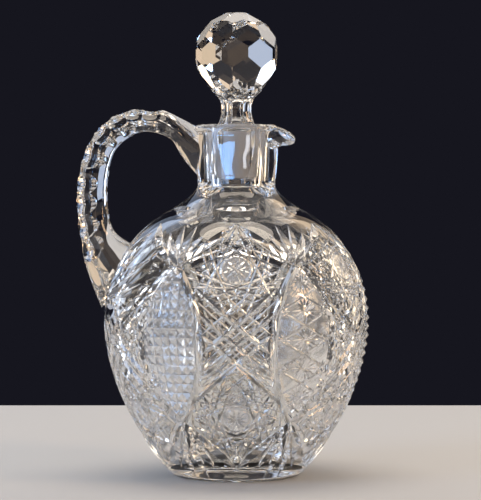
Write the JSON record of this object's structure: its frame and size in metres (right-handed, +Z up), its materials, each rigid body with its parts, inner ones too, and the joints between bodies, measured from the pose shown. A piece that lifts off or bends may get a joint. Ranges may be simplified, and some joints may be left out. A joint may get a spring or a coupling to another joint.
{
  "type": "liqueur decanter",
  "caption": "Cut-glass liqueur jug with a loop handle, a pouring lip and a lift-out faceted ball stopper ground into its neck.",
  "frame": {"origin": "centre of the flat resting face under the jug", "axes": "+Z up along the jug's and the stopper's axis, -X towards the handle, +X towards the pouring lip, -Y towards the viewer"},
  "size_m": [0.1449, 0.1314, 0.2293],
  "materials": {
    "body_crystal": "lead crystal, wheel cut and polished, ground socket in the neck",
    "handle_crystal": "lead crystal, shaped hot, scallops cut and polished",
    "stopper_crystal": "lead crystal, facets cut and polished, plug ground matt"
  },
  "bodies": {
    "jug": {"jug_body": "body_crystal", "neck": "body_crystal", "handle": "handle_crystal"},
    "stopper": {"stopper": "stopper_crystal"}
  },
  "joints": [
    {"name": "stopper_lift", "type": "slide", "parent": "jug", "child": "stopper", "axis": [0, 0, 1], "range_m": [0, 0.045]}
  ]
}
